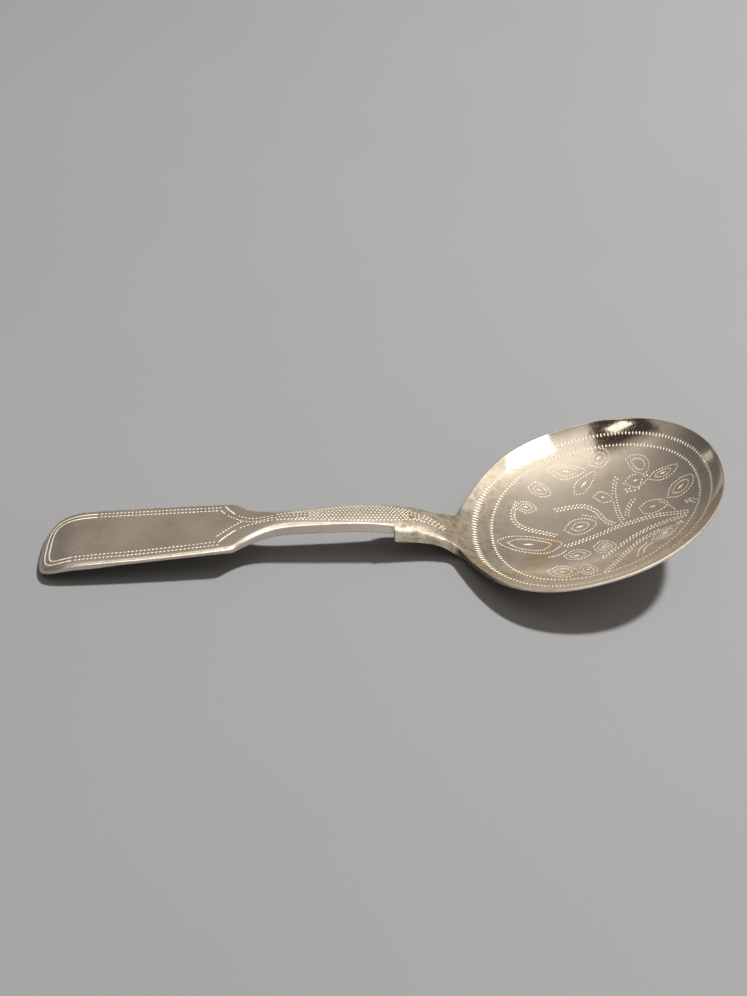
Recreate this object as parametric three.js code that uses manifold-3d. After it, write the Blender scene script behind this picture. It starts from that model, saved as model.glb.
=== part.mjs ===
// A silver caddy spoon with a fiddle-shaped handle and an oval bowl, built from three pieces:
// the bowl, raised from sheet with a short tang at its heel, the forged handle, whose neck is
// rebated to lie over that tang, and the thin seam of silver solder between them.
// Millimetres, +Z up. The spoon lies along X as it does on a table, on the worn spot under
// its bowl and on its turned-down end. The handle's end is at -X and the bowl's tip at +X.

import * as THREE from 'three';
import { mergeVertices } from 'three/addons/utils/BufferGeometryUtils.js';
import Module from 'manifold-3d';

const wasm = await Module();
wasm.setup();

const degrees = Math.PI / 180;
const clamp = (value, low, high) => Math.min(high, Math.max(low, value));
const lerp = THREE.MathUtils.lerp;
const smooth = THREE.MathUtils.smoothstep;

// Lengths along the spoon, from the handle's end to the bowl's tip
const terminalLength = 26;       // the broad terminal, as far as its shoulders
const sweepLength = 8;           // over which these sweep in to the waist
const stemLength = 12.8;         // from the waist to the squared shoulders above the bowl
const neckLength = 7.734;        // from the squared shoulders to the bowl's rim
const bowlLength = 36;           // across the rim, heel to tip

// The bowl
const bowlWidth = 32.3;
const bowlDish = 4.9;            // depth of the even dish, inside
const bowlTurnUp = 0.5;          // extra depth where the last millimetres turn up to the rim
const turnUpPower = 11;          // how close to the rim they do
const ovalPower = 2.1;           // 2 would be an ellipse, more is squarer
const heelNarrowing = 0.5;       // share by which the outline draws in towards the handle
const narrowingPower = 4.9;      // how close to the handle it does
const bowlSheet = 0.5;           // thickness of the silver sheet
const heelThicker = 1.6;         // how much thicker the rim was left beside the neck
const heelThickRun = 9;          // how far along the bowl that reaches
const heelThickPower = 1.4;
const heelThickReach = 5;        // and how closely it keeps to the rim
const bowlTilt = 17.6 * degrees; // the rim rises towards the tip
const wornDepth = 0.06;          // silver worn off the back where the bowl stands

// The handle in plan, half widths
const endRound = 5.2;            // length of the rounded end
const endHalf = 5.46;            // widest, just behind the rounded end
const endPower = 3.2;            // 2 would be an ellipse, more is squarer
const endFlat = 0.5;             // the foremost facet of the end
const terminalHalf = 4.62;       // at the terminal's shoulders
const terminalTaper = 1.6;       // 1 would be a straight taper, more stays broad for longer
const sweepPower = 2.7;          // more sweeps in sooner
const waistHalf = 1.64;
const stemHalf = 2.14;           // just before the squared shoulders
const shoulderHalf = 2.48;       // just after them
const shoulderRun = 0.16;        // the slight slope of their faces
const shoulderDrop = 0.19;       // how far their top edges lie under the stem's
const neckHalf = 2.46;           // the neck's narrowest place
const neckEndHalf = 3;           // where the neck meets the bowl's rim

// The handle in section
const endThick = 0.62;           // at the handle's end, thinned by wear
const bendThick = 1.15;          // where the end turns down
const bendAt = 6.5;
const terminalThick = 0.9;
const stemThick = 1.58;
const shoulderThick = 2.36;
const neckThick = 1.6;
const stemCrown = 0.34;          // how far the stem's top is domed above its edges
const edgeEase = 0.12;           // softened top edge
const edgeEaseRun = 2;           // over which it dies out before the bowl
const neckFade = 4.5;            // over which the neck's dome dies out before the bowl

// The soldered joint
const tangThick = 0.75;          // the bowl's tang under the neck
const solderThick = 0.12;
const blockLength = 1.4;         // full-thickness shoulder in front of the rebate
const heelLift = 0.85;           // how far the bowl's heel rises to meet the neck
const heelRun = 5;               // length of that rise inside the bowl
const heelSpread = 5;            // and its reach to each side
const heelBlend = 1.2;           // over which the neck's underside runs into the bowl's back
const flareRun = 6;              // length of the neck's flare under the bowl's heel
const flareHalf = 7;             // half its width at the end

// Facets
const insideSheet = 0.08;        // hidden skins of the flare lie this far inside the sheet
const lapSteps = 6;
const ringCount = 13;
const ringCrowding = 0.9;        // under 1 sets the rings closer together towards the rim
const spokeCount = 72;
const endSteps = 10;
const acrossHandle = [-1, -0.94, -0.62, -0.3, 0, 0.3, 0.62, 0.94, 1];

// Places along the spoon, from the handle's end
const waistAt = terminalLength + sweepLength;
const shoulderAt = waistAt + stemLength;
const tangEndAt = shoulderAt + blockLength;
const neckEndAt = shoulderAt + neckLength;
const neckFadeAt = neckEndAt - neckFade;
const halfLength = bowlLength / 2;
const halfWidth = bowlWidth / 2;
const bowlCentreAt = neckEndAt + halfLength * Math.cos(bowlTilt);
const overallLength = bowlCentreAt + halfLength * Math.cos(bowlTilt) + bowlSheet * Math.sin(bowlTilt);

// Heights above the table
const bowlCentreHeight = deepestBack() - wornDepth;
const neckEndHeight = bowlCentreHeight - halfLength * Math.sin(bowlTilt) + heelLift;

// Height of the top edge along the handle
const topEdge = curveThrough([
  [0, endThick], [2, 1.96], [4.6, 2.96], [8, 3.34],
  [terminalLength - 12, 3.68], [terminalLength - 4, 4.24], [terminalLength + 1, 4.68],
  [waistAt - 3, 5.28], [waistAt + 2, 5.6], [shoulderAt - 4.8, 5.76], [shoulderAt - 0.8, 5.52],
  [shoulderAt + 2.7, 4.98], [neckEndAt - 2.93, 4.22], [neckEndAt - 1.33, 3.42],
  [neckEndAt, neckEndHeight],
]);

// Thickness of the terminal and the stem
const bladeThickness = curveThrough([
  [0, endThick], [bendAt, bendThick], [2 * bendAt, terminalThick], [terminalLength - 1, terminalThick + 0.1],
  [terminalLength + 4, stemThick], [shoulderAt, stemThick],
]);

// Half widths of the stem, and of the neck as it flares into the bowl
const stemWidth = curveThrough([
  [waistAt, waistHalf], [waistAt + 6, 1.82], [shoulderAt - 2.8, 1.98], [shoulderAt, stemHalf],
]);
const neckWidth = curveThrough([
  [shoulderAt, shoulderHalf], [neckEndAt - 3.33, neckHalf], [neckEndAt - 1.53, 2.6],
  [neckEndAt - 0.53, 2.82], [neckEndAt, neckEndHalf], [neckEndAt + 0.7, 3.35],
  [neckEndAt + 1.3, 4], [neckEndAt + 2.2, 5.5], [neckEndAt + flareRun, flareHalf],
]);

// A smooth curve through [place, value] points, as a function of the place
function curveThrough(points) {
  const last = points.length - 1;
  const slopes = points.map((point, i) => {
    const before = points[Math.max(0, i - 1)];
    const after = points[Math.min(last, i + 1)];
    return (after[1] - before[1]) / (after[0] - before[0]);
  });
  return (place) => {
    const next = points.findIndex((point) => point[0] > place);
    const k = next < 0 ? last - 1 : Math.max(0, next - 1);
    const span = points[k + 1][0] - points[k][0];
    const t = (place - points[k][0]) / span;
    return points[k][1] * (1 + 2 * t) * (1 - t) ** 2 + slopes[k] * span * t * (1 - t) ** 2
      + points[k + 1][1] * t * t * (3 - 2 * t) + slopes[k + 1] * span * t * t * (t - 1);
  };
}

// A closed geometry as the solid that can be joined and cut, and back
function solidFrom(closed) {
  const bare = new THREE.BufferGeometry();
  bare.setAttribute('position', closed.attributes.position);
  bare.setIndex(closed.index);
  const merged = mergeVertices(bare, 1e-4);
  return new wasm.Manifold(new wasm.Mesh({
    numProp: 3,
    vertProperties: new Float32Array(merged.attributes.position.array),
    triVerts: withoutFlat(merged.index.array),
  }));
}

// Leaves out the triangles that have no area, where a grid closes on one point
function withoutFlat(index) {
  const kept = [];
  for (let i = 0; i < index.length; i += 3) {
    const [a, b, c] = index.slice(i, i + 3);
    if (a !== b && b !== c && c !== a) kept.push(a, b, c);
  }
  return new Uint32Array(kept);
}

function geometryFrom(solid) {
  const mesh = solid.getMesh();
  const geometry = new THREE.BufferGeometry();
  geometry.setAttribute('position', new THREE.Float32BufferAttribute(mesh.vertProperties, 3));
  geometry.setIndex(Array.from(mesh.triVerts));
  geometry.computeVertexNormals();
  return geometry;
}

// A closed solid between an upper and a lower skin, both given over the same grid of points
function solidBetween(rows, columns, upper, lower, closedRows) {
  const positions = [];
  const triangles = [];
  for (const skin of [upper, lower]) {
    for (let r = 0; r < rows; r++) {
      for (let c = 0; c < columns; c++) positions.push(...skin(r, c));
    }
  }
  const at = (side, r, c) => side * rows * columns + r * columns + (closedRows ? c % columns : c);
  const quad = (a, b, c, d) => triangles.push(a, b, c, a, c, d);
  const lastColumn = closedRows ? columns : columns - 1;
  for (let r = 0; r < rows - 1; r++) {
    for (let c = 0; c < lastColumn; c++) {
      quad(at(0, r, c), at(0, r + 1, c), at(0, r + 1, c + 1), at(0, r, c + 1));
      quad(at(1, r, c), at(1, r, c + 1), at(1, r + 1, c + 1), at(1, r + 1, c));
    }
  }
  for (let c = 0; c < lastColumn; c++) {
    quad(at(0, rows - 1, c), at(1, rows - 1, c), at(1, rows - 1, c + 1), at(0, rows - 1, c + 1));
    if (!closedRows) quad(at(0, 0, c), at(0, 0, c + 1), at(1, 0, c + 1), at(1, 0, c));
  }
  if (!closedRows) {
    for (let r = 0; r < rows - 1; r++) {
      quad(at(0, r, 0), at(1, r, 0), at(1, r + 1, 0), at(0, r + 1, 0));
      const c = columns - 1;
      quad(at(0, r, c), at(0, r + 1, c), at(1, r + 1, c), at(1, r, c));
    }
  }
  const geometry = new THREE.BufferGeometry();
  geometry.setAttribute('position', new THREE.Float32BufferAttribute(positions, 3));
  geometry.setIndex(triangles);
  return geometry;
}

// Half the bowl's width before the oval closes in, drawn in towards the handle
function ovalHalf(u) {
  return halfWidth * (1 - heelNarrowing * (Math.max(-u, 0) / halfLength) ** narrowingPower);
}

// How far out a point of the rim's plane lies: 0 at the bowl's centre and 1 on its outline
function reachOf(u, v) {
  const along = Math.abs(u / halfLength) ** ovalPower;
  const across = Math.abs(v / ovalHalf(u)) ** ovalPower;
  return Math.min(1, (along + across) ** (1 / ovalPower));
}

// Depth of the inside below the rim's plane
function dishDepth(u, v) {
  const reach = reachOf(u, v);
  return bowlDish * (1 - reach ** 2) + bowlTurnUp * (1 - reach ** turnUpPower);
}

// Thickness of the bowl, which is left heavier where the neck joins its rim
function sheetAt(u, v) {
  const near = clamp((-u - halfLength + heelThickRun) / heelThickRun, 0, 1);
  return bowlSheet + heelThicker * near ** heelThickPower * reachOf(u, v) ** heelThickReach;
}

// How far the back of the bowl hangs below the middle of its rim
function deepestBack() {
  const step = 0.1;
  let deepest = 0;
  for (let u = -halfLength; u < 0; u += step) {
    const sunk = dishDepth(u, 0) + sheetAt(u, 0);
    const along = bowlCentreAt + u * Math.cos(bowlTilt) + sunk * Math.sin(bowlTilt);
    const hangs = sunk * Math.cos(bowlTilt) - u * Math.sin(bowlTilt) - heelRise(along, 0);
    deepest = Math.max(deepest, hangs);
  }
  return deepest;
}

// The skins of the bowl, as depths into the sheet at a place along it
const insideSkin = () => 0;
const backSkin = (u, v) => sheetAt(u, v);
const justUnderInside = () => insideSheet;
const justAboveBack = (u, v) => sheetAt(u, v) - insideSheet;

// A point of a skin: it is sunk from the rim's plane along the plane's normal
function dishPoint(u, v, skin) {
  const sunk = dishDepth(u, v) + skin(u, v);
  const along = bowlCentreAt + u * Math.cos(bowlTilt) + sunk * Math.sin(bowlTilt);
  const height = bowlCentreHeight + u * Math.sin(bowlTilt) - sunk * Math.cos(bowlTilt);
  return [along, v, height + heelRise(along, v)];
}

// The same skin's height over a place on the table, found by stepping towards that place
function dishHeight(along, v, skin) {
  const passes = 12;
  let u = (along - bowlCentreAt) / Math.cos(bowlTilt);
  for (let pass = 0; pass < passes; pass++) {
    u = Math.max(-halfLength, u + (along - dishPoint(u, v, skin)[0]) / Math.cos(bowlTilt));
  }
  return dishPoint(u, v, skin)[2];
}

// The heel of the bowl sweeps up to the neck
function heelRise(along, v) {
  const near = clamp((neckEndAt + heelRun - along) / heelRun, 0, 1);
  return heelLift * near ** 2 * (1 - smooth(Math.abs(v), neckHalf, heelSpread));
}

function bowlShell() {
  const rounded = (value) => Math.sign(value) * Math.abs(value) ** (2 / ovalPower);
  const over = (skin) => (ring, spoke) => {
    const reach = Math.sin(ring / ringCount * Math.PI / 2) ** ringCrowding;
    const angle = spoke / spokeCount * 2 * Math.PI;
    const u = halfLength * reach * rounded(Math.cos(angle));
    return dishPoint(u, ovalHalf(u) * reach * rounded(Math.sin(angle)), skin);
  };
  return solidBetween(ringCount + 1, spokeCount, over(insideSkin), over(backSkin), true);
}

// Half width of the whole handle
function handleHalf(s) {
  if (s < endRound) {
    const round = (1 - ((endRound - s) / endRound) ** endPower) ** (1 / endPower);
    return Math.max(endFlat, endHalf * round);
  }
  if (s < terminalLength) {
    const along = (s - endRound) / (terminalLength - endRound);
    return lerp(endHalf, terminalHalf, along ** terminalTaper);
  }
  if (s < waistAt) return lerp(waistHalf, terminalHalf, ((waistAt - s) / sweepLength) ** sweepPower);
  if (s < shoulderAt) return stemWidth(s);
  return lerp(stemHalf, neckWidth(s), pastShoulder(s));
}

// 0 before the sloping faces of the squared shoulders, 1 after them
function pastShoulder(s) {
  return clamp((s - shoulderAt) / shoulderRun, 0, 1);
}

// How much of the neck's own shape is left: 1 at the shoulders, 0 at the bowl's rim
function neckLeft(s) {
  return 1 - smooth(s, neckFadeAt, neckEndAt);
}

// The top edges step down a little at the squared shoulders
function edgeDrop(s) {
  return shoulderDrop * pastShoulder(s) * neckLeft(s);
}

// How far the middle of the top is domed above its edges
function crown(s) {
  const stem = stemCrown * smooth(s, terminalLength, waistAt);
  return stem * neckLeft(s) + edgeDrop(s);
}

function thickness(s) {
  const neck = lerp(shoulderThick, neckThick, smooth(s, shoulderAt, neckEndAt));
  return lerp(bladeThickness(s), neck, pastShoulder(s));
}

function neckUnderside(s) {
  return topEdge(s) - edgeDrop(s) - thickness(s);
}

// Underside of the handle, then of its flare, which runs into the bowl's back
function underside(s, v) {
  if (s < neckEndAt) return Math.max(neckUnderside(s), 0);
  const onBowl = dishHeight(s, v, justAboveBack);
  return Math.max(lerp(neckUnderside(neckEndAt), onBowl, smooth(s, neckEndAt, neckEndAt + heelBlend)), 0);
}

// Places along the handle at which its section is given, closer together where it turns
function stations() {
  const places = [];
  for (let i = 0; i < endSteps; i++) {
    places.push(endRound * (1 - Math.cos(i / endSteps * Math.PI / 2)));
  }
  const runs = [
    [endRound, 8], [terminalLength, 12], [waistAt, 7], [shoulderAt, 1],
    [shoulderAt + shoulderRun, 12], [neckEndAt, 10], [neckEndAt + flareRun, 1],
  ];
  for (let k = 0; k < runs.length - 1; k++) {
    const [from, steps] = runs[k];
    for (let i = 0; i < steps; i++) places.push(lerp(from, runs[k + 1][0], i / steps));
  }
  places.push(neckEndAt + flareRun);
  return places;
}

// The forging before it is parted: terminal, stem, shoulders, neck and flare
function forging() {
  const places = stations();
  const at = (row, column) => {
    const across = acrossHandle[column];
    return [places[row], across, across * handleHalf(places[row])];
  };
  const top = (row, column) => {
    const [s, across, v] = at(row, column);
    if (s > neckEndAt) return [s, v, dishHeight(s, v, justUnderInside)];
    const easing = 1 - smooth(s, neckEndAt - edgeEaseRun, neckEndAt);
    const eased = Math.abs(across) === 1 ? edgeEase * easing : 0;
    return [s, v, topEdge(s) - edgeDrop(s) + crown(s) * (1 - across ** 2) - eased];
  };
  const bottom = (row, column) => {
    const [s, , v] = at(row, column);
    return [s, v, underside(s, v)];
  };
  return solidBetween(places.length, acrossHandle.length, top, bottom, false);
}

// A prism right across the spoon, on a profile of [place, height] points
function prism(profile) {
  const shape = new THREE.Shape(profile.map(([s, height]) => new THREE.Vector2(s, height)));
  const geometry = new THREE.ExtrudeGeometry(shape, { depth: 2 * bowlWidth, bevelEnabled: false });
  geometry.rotateX(Math.PI / 2);
  geometry.translate(0, bowlWidth, 0);
  return solidFrom(geometry);
}

// All that lies below and beyond the lap: the tang's side of the joint, grown by the solder
function bowlSide(grown) {
  const far = overallLength;
  const lap = [];
  for (let i = 0; i <= lapSteps; i++) {
    const s = lerp(tangEndAt, neckEndAt, i / lapSteps);
    lap.push([s - grown, neckUnderside(s) + tangThick + grown]);
  }
  return prism([
    [tangEndAt - grown, -far], ...lap, [neckEndAt - grown, far], [2 * far, far], [2 * far, -far],
  ]);
}

// All that lies under the surface that the spoon stands on
function ground() {
  const beyond = overallLength + bowlWidth;
  return prism([[-beyond, 0], [-beyond, -bowlWidth], [beyond, -bowlWidth], [beyond, 0]]);
}

function spoonPieces() {
  const forged = solidFrom(forging());
  const dish = solidFrom(bowlShell());
  return {
    bowl: dish.add(forged).intersect(bowlSide(0)).subtract(ground()),
    handle: forged.subtract(bowlSide(solderThick)),
    solder_seam: forged.intersect(bowlSide(solderThick)).subtract(bowlSide(0)),
  };
}

const finishes = {
  bowl: new THREE.MeshStandardMaterial({ color: 0xcbc1ae, roughness: 0.18, metalness: 1 }),
  handle: new THREE.MeshStandardMaterial({ color: 0xc6beb0, roughness: 0.3, metalness: 1 }),
  solder_seam: new THREE.MeshStandardMaterial({ color: 0xa99a76, roughness: 0.4, metalness: 1 }),
};

const spoon = new THREE.Group();
for (const [name, solid] of Object.entries(spoonPieces())) {
  const mesh = new THREE.Mesh(geometryFrom(solid), finishes[name]);
  mesh.name = name;
  mesh.position.x = -overallLength / 2;
  spoon.add(mesh);
}

export default spoon;
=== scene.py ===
import math
import random
import bpy
from mathutils import Matrix, Vector
from mathutils.geometry import delaunay_2d_cdt


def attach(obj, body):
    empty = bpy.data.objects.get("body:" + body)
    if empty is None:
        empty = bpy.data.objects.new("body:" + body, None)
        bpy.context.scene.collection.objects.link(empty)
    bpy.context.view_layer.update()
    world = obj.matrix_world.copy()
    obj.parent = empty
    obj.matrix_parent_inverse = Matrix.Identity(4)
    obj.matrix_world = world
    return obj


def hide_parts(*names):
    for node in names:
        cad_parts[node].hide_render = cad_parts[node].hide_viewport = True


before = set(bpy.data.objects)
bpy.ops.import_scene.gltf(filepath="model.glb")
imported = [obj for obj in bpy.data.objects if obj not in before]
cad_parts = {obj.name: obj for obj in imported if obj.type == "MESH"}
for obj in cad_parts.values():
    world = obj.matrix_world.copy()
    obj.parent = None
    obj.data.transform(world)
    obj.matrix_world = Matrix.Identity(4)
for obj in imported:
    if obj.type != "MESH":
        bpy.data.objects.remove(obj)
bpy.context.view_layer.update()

mm = 0.001  # the shapes below are worked out in millimetres
print("frame loaded")


# Small sums

def clamp(value, low, high):
    return min(high, max(low, value))


def mix(a, b, share):
    return a + (b - a) * share


def smooth(value, low, high):
    share = clamp((value - low) / (high - low), 0, 1)
    return share * share * (3 - 2 * share)


def curveThrough(points):
    # a smooth curve through (place, value) points, as a function of the place
    last = len(points) - 1
    slopes = []
    for i in range(len(points)):
        before = points[max(0, i - 1)]
        after = points[min(last, i + 1)]
        slopes.append((after[1] - before[1]) / (after[0] - before[0]))

    def curve(place):
        k = 0
        while k < last - 1 and place > points[k + 1][0]:
            k += 1
        span = points[k + 1][0] - points[k][0]
        t = (place - points[k][0]) / span
        start = points[k][1] * (1 + 2 * t) * (1 - t) ** 2 + slopes[k] * span * t * (1 - t) ** 2
        end = points[k + 1][1] * t * t * (3 - 2 * t) + slopes[k + 1] * span * t * t * (t - 1)
        return start + end
    return curve


# The spoon's sizes, in millimetres. A place along it is measured from the handle's end.

bowl = {
    "length": 36, "width": 32.3, "tilt": math.radians(17.6),
    "dish": 4.9, "turnUp": 0.5, "turnUpPower": 11,  # how deep it is, and its rim's share of that
    "ovalPower": 2.1, "heelNarrowing": 0.5, "narrowingPower": 4.9,  # a little fuller than an ellipse
    "sheet": 0.5,  # the silver's thickness, and how much thicker it is towards the heel
    "heelThicker": 1.6, "heelThickRun": 9, "heelThickPower": 1.4, "heelThickReach": 5,
    "worn": 0.06,  # worn off the flat spot that it rests on
    "heelLift": 0.85, "heelRun": 5, "heelSpread": 5, "heelBlend": 1.2,  # its wall runs up into the neck
    "heelRound": 0.035,  # share of the half length over which neck and bowl round into each other
    "heelRoundFrom": 2.6, "heelRoundTo": 5.5,  # how far from the middle that rounding fades out
    "rimRound": 0.21, "neckRimRound": 0.1,
    "edgeShare": 0.45,  # the rim's rounding is at most this share of the thickness
    "spacing": 0.42, "ringStep": 0.9,
}

handle = {
    "terminal": 26, "sweep": 8, "stem": 12.8, "neck": 7.734,  # lengths of its parts, from the end on
    # half widths, and how its outline bends between them
    "endRound": 5.2, "endHalf": 5.46, "endPower": 3.2, "terminalHalf": 4.62, "terminalTaper": 1.6,
    "sweepPower": 2.7, "waistHalf": 1.64, "stemHalf": 2.14, "shoulderHalf": 2.48, "shoulderRun": 0.16,
    "shoulderDrop": 0.19, "neckHalf": 2.46, "neckEndHalf": 3,
    # thicknesses, and the crown that the stem and neck have across
    "endThick": 0.62, "bendThick": 1.15, "bendAt": 6.5, "terminalThick": 0.9, "stemThick": 1.58,
    "shoulderThick": 2.36, "neckThick": 1.6, "stemCrown": 0.34, "neckFade": 4.5,
    # the back's rounded edge, and how the terminal's face falls off towards its sides
    "backRound": 0.24, "pillow": 0.1, "pillowRun": 1.1, "pillowFade": 2,
    "cornerWear": 0.6,  # how far either way the terminal's corners are worn round
    "filletReach": 1.9, "filletShare": 0.6, "filletFrom": 2, "filletTo": 5,  # solder where neck meets bowl
    "topShare": 0.62, "backShare": 0.35, "neckBackRound": 0.02,  # edges round at most this much of it
    "sagReach": 3, "squareFrom": 3.2, "spacing": 0.4,
}

lap = {"tangThick": 0.75, "solder": 0.12, "block": 1.4}  # the tang, its film of solder, the shoulders' block

waistAt = handle["terminal"] + handle["sweep"]
shoulderAt = waistAt + handle["stem"]
tangEndAt = shoulderAt + lap["block"]
neckEndAt = shoulderAt + handle["neck"]
rebateAt = tangEndAt - lap["solder"]  # the neck is cut away underneath from here
faceEndAt = neckEndAt - lap["solder"]  # and the handle's own metal ends here
halfLength = bowl["length"] / 2
halfWidth = bowl["width"] / 2
cosTilt = math.cos(bowl["tilt"])
sinTilt = math.sin(bowl["tilt"])
bowlCentreAt = neckEndAt + halfLength * cosTilt
overallLength = bowlCentreAt + halfLength * cosTilt + bowl["sheet"] * sinTilt


def metres(point):
    # from places along the spoon to the part's own frame
    return ((point[0] - overallLength / 2) * mm, point[1] * mm, point[2] * mm)


# The bowl's surfaces, in its rim's plane: u along, v across, and a depth sunk square to it

def ovalHalf(u):
    narrowed = bowl["heelNarrowing"] * (max(-u, 0) / halfLength) ** bowl["narrowingPower"]
    return halfWidth * (1 - narrowed)


def reachOf(u, v):
    power = bowl["ovalPower"]
    return (abs(u / halfLength) ** power + abs(v / ovalHalf(u)) ** power) ** (1 / power)


def dishAt(reach):
    # a shallow dish whose last part turns up to the rim
    return bowl["dish"] * (1 - reach ** 2) + bowl["turnUp"] * (1 - reach ** bowl["turnUpPower"])


def insideDepth(u, v):
    left = 1 - reachOf(u, v)
    soften = 0
    if u < 0:
        soften = bowl["heelRound"] * (1 - smooth(abs(v), bowl["heelRoundFrom"], bowl["heelRoundTo"]))
    left = (left + math.sqrt(left * left + soften * soften)) / 2
    return dishAt(1 - left)


def sheetAt(u, v):
    near = clamp((-u - halfLength + bowl["heelThickRun"]) / bowl["heelThickRun"], 0, 1)
    rim = min(1, reachOf(u, v)) ** bowl["heelThickReach"]
    return bowl["sheet"] + bowl["heelThicker"] * near ** bowl["heelThickPower"] * rim


def heelRise(along, v):
    near = clamp((neckEndAt + bowl["heelRun"] - along) / bowl["heelRun"], 0, 1)
    return bowl["heelLift"] * near ** 2 * (1 - smooth(abs(v), handle["neckHalf"], bowl["heelSpread"]))


def deepestBack():
    # how far the bowl's back hangs below the middle of its rim, looked for along the heel half
    deepest = 0
    samples = 180
    for i in range(samples):
        u = -halfLength * (1 - i / samples)
        sunk = dishAt(abs(u / halfLength)) + sheetAt(u, 0)
        along = bowlCentreAt + u * cosTilt + sunk * sinTilt
        deepest = max(deepest, sunk * cosTilt - u * sinTilt - heelRise(along, 0))
    return deepest


bowlCentreHeight = deepestBack() - bowl["worn"]
neckEndHeight = bowlCentreHeight - halfLength * sinTilt + bowl["heelLift"]


def bowlPoint(u, v, sunk):
    along = bowlCentreAt + u * cosTilt + sunk * sinTilt
    height = bowlCentreHeight + u * sinTilt - sunk * cosTilt
    return (along, v, height + heelRise(along, v))


# The handle's surfaces: s along, v across

topEdge = curveThrough([
    (0, handle["endThick"]), (2, 1.96), (4.6, 2.96), (8, 3.34),
    (handle["terminal"] - 12, 3.68), (handle["terminal"] - 4, 4.24), (handle["terminal"] + 1, 4.68),
    (waistAt - 3, 5.28), (waistAt + 2, 5.6), (shoulderAt - 4.8, 5.76), (shoulderAt - 0.8, 5.52),
    (shoulderAt + 2.7, 4.98), (neckEndAt - 2.93, 4.22), (neckEndAt - 1.33, 3.42),
    (neckEndAt, neckEndHeight),
])
bladeThickness = curveThrough([
    (0, handle["endThick"]), (handle["bendAt"], handle["bendThick"]),
    (2 * handle["bendAt"], handle["terminalThick"]),
    (handle["terminal"] - 1, handle["terminalThick"] + 0.1),
    (handle["terminal"] + 4, handle["stemThick"]), (shoulderAt, handle["stemThick"]),
])
stemWidth = curveThrough([
    (waistAt, handle["waistHalf"]), (waistAt + 6, 1.82), (shoulderAt - 2.8, 1.98),
    (shoulderAt, handle["stemHalf"]),
])
neckWidth = curveThrough([
    (shoulderAt, handle["shoulderHalf"]), (neckEndAt - 3.33, handle["neckHalf"]),
    (neckEndAt - 1.53, 2.6), (neckEndAt - 0.53, 2.82), (neckEndAt, handle["neckEndHalf"]),
    (neckEndAt + 0.7, 3.35), (neckEndAt + 1.3, 4), (neckEndAt + 2.2, 5.5), (neckEndAt + 6, 7),
])

# how far the top edge is rounded, most where fingers and cloths rub it
edgeWear = curveThrough([
    (0, 0.26), (5, 0.36), (handle["terminal"] - 3, 0.46), (handle["terminal"] + 2, 0.66),
    (waistAt - 1, 0.5), (waistAt + 4, 0.26), (shoulderAt - 0.2, 0.2), (shoulderAt + 0.6, 0.9),
    (neckEndAt - 3, 0.85), (neckEndAt - 1, 0.3), (neckEndAt, 0.1),
])


def pastShoulder(s):
    return smooth(s, shoulderAt, shoulderAt + handle["shoulderRun"])


def neckLeft(s):
    return 1 - smooth(s, neckEndAt - handle["neckFade"], neckEndAt)


def sharpHalf(s):
    if s < handle["endRound"]:
        power = handle["endPower"]
        share = clamp(1 - s / handle["endRound"], 0, 1)
        return handle["endHalf"] * (1 - share ** power) ** (1 / power)
    if s < handle["terminal"]:
        along = (s - handle["endRound"]) / (handle["terminal"] - handle["endRound"])
        return mix(handle["endHalf"], handle["terminalHalf"], along ** handle["terminalTaper"])
    if s < waistAt:
        left = (waistAt - s) / handle["sweep"]
        return mix(handle["waistHalf"], handle["terminalHalf"], left ** handle["sweepPower"])
    if s < shoulderAt:
        return stemWidth(s)
    share = clamp((s - shoulderAt) / handle["shoulderRun"], 0, 1)
    return mix(handle["stemHalf"], neckWidth(s), share)


def handleHalf(s):
    # the terminal's corners are worn round, so the sharp outline is averaged there
    wear = handle["cornerWear"]
    if abs(s - handle["terminal"]) > wear:
        return sharpHalf(s)
    steps = [sharpHalf(s + wear / 4 * k) for k in (-3, -2, -1, 0, 1, 2, 3)]
    return sum(steps) / len(steps)


def neckSag(s, v):
    # the neck's top rounds over into the bowl
    u = (s - bowlCentreAt) / cosTilt
    return insideDepth(u, v) if u < -halfLength + 1e-6 else 0


def neckFillet(along, v):
    # solder rounds off the hollow where the neck meets the bowl's heel
    reach = handle["filletReach"]
    left = max(0, reach - abs(along - neckEndAt))
    across = 1 - smooth(abs(v), handle["filletFrom"], handle["filletTo"])
    return handle["filletShare"] * across * left * left / (4 * reach)


def handleTop(s, v):
    half = max(0.01, handleHalf(s))
    across = min(1, abs(v) / half)
    drop = handle["shoulderDrop"] * pastShoulder(s) * neckLeft(s)
    stem = handle["stemCrown"] * smooth(s, handle["terminal"], waistAt) * neckLeft(s)
    edge = clamp((abs(v) - half + handle["pillowRun"]) / handle["pillowRun"], 0, 1)
    pillow = handle["pillow"] * edge ** 2
    pillow *= 1 - smooth(s, handle["terminal"] - handle["pillowFade"], waistAt)
    sag = neckSag(s, v) if s > neckEndAt - handle["sagReach"] else 0
    return topEdge(s) - drop + (stem + drop) * (1 - across ** 2) - pillow - sag + neckFillet(s, v)


def neckUnderside(s):
    drop = handle["shoulderDrop"] * pastShoulder(s) * neckLeft(s)
    neck = mix(handle["shoulderThick"], handle["neckThick"], smooth(s, shoulderAt, neckEndAt))
    return topEdge(s) - drop - mix(bladeThickness(s), neck, pastShoulder(s))


def lapHeight(s):
    return neckUnderside(s) + lap["tangThick"]


print("surfaces defined: overall length", round(overallLength, 2), "mm")


# Mesh building

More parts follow.
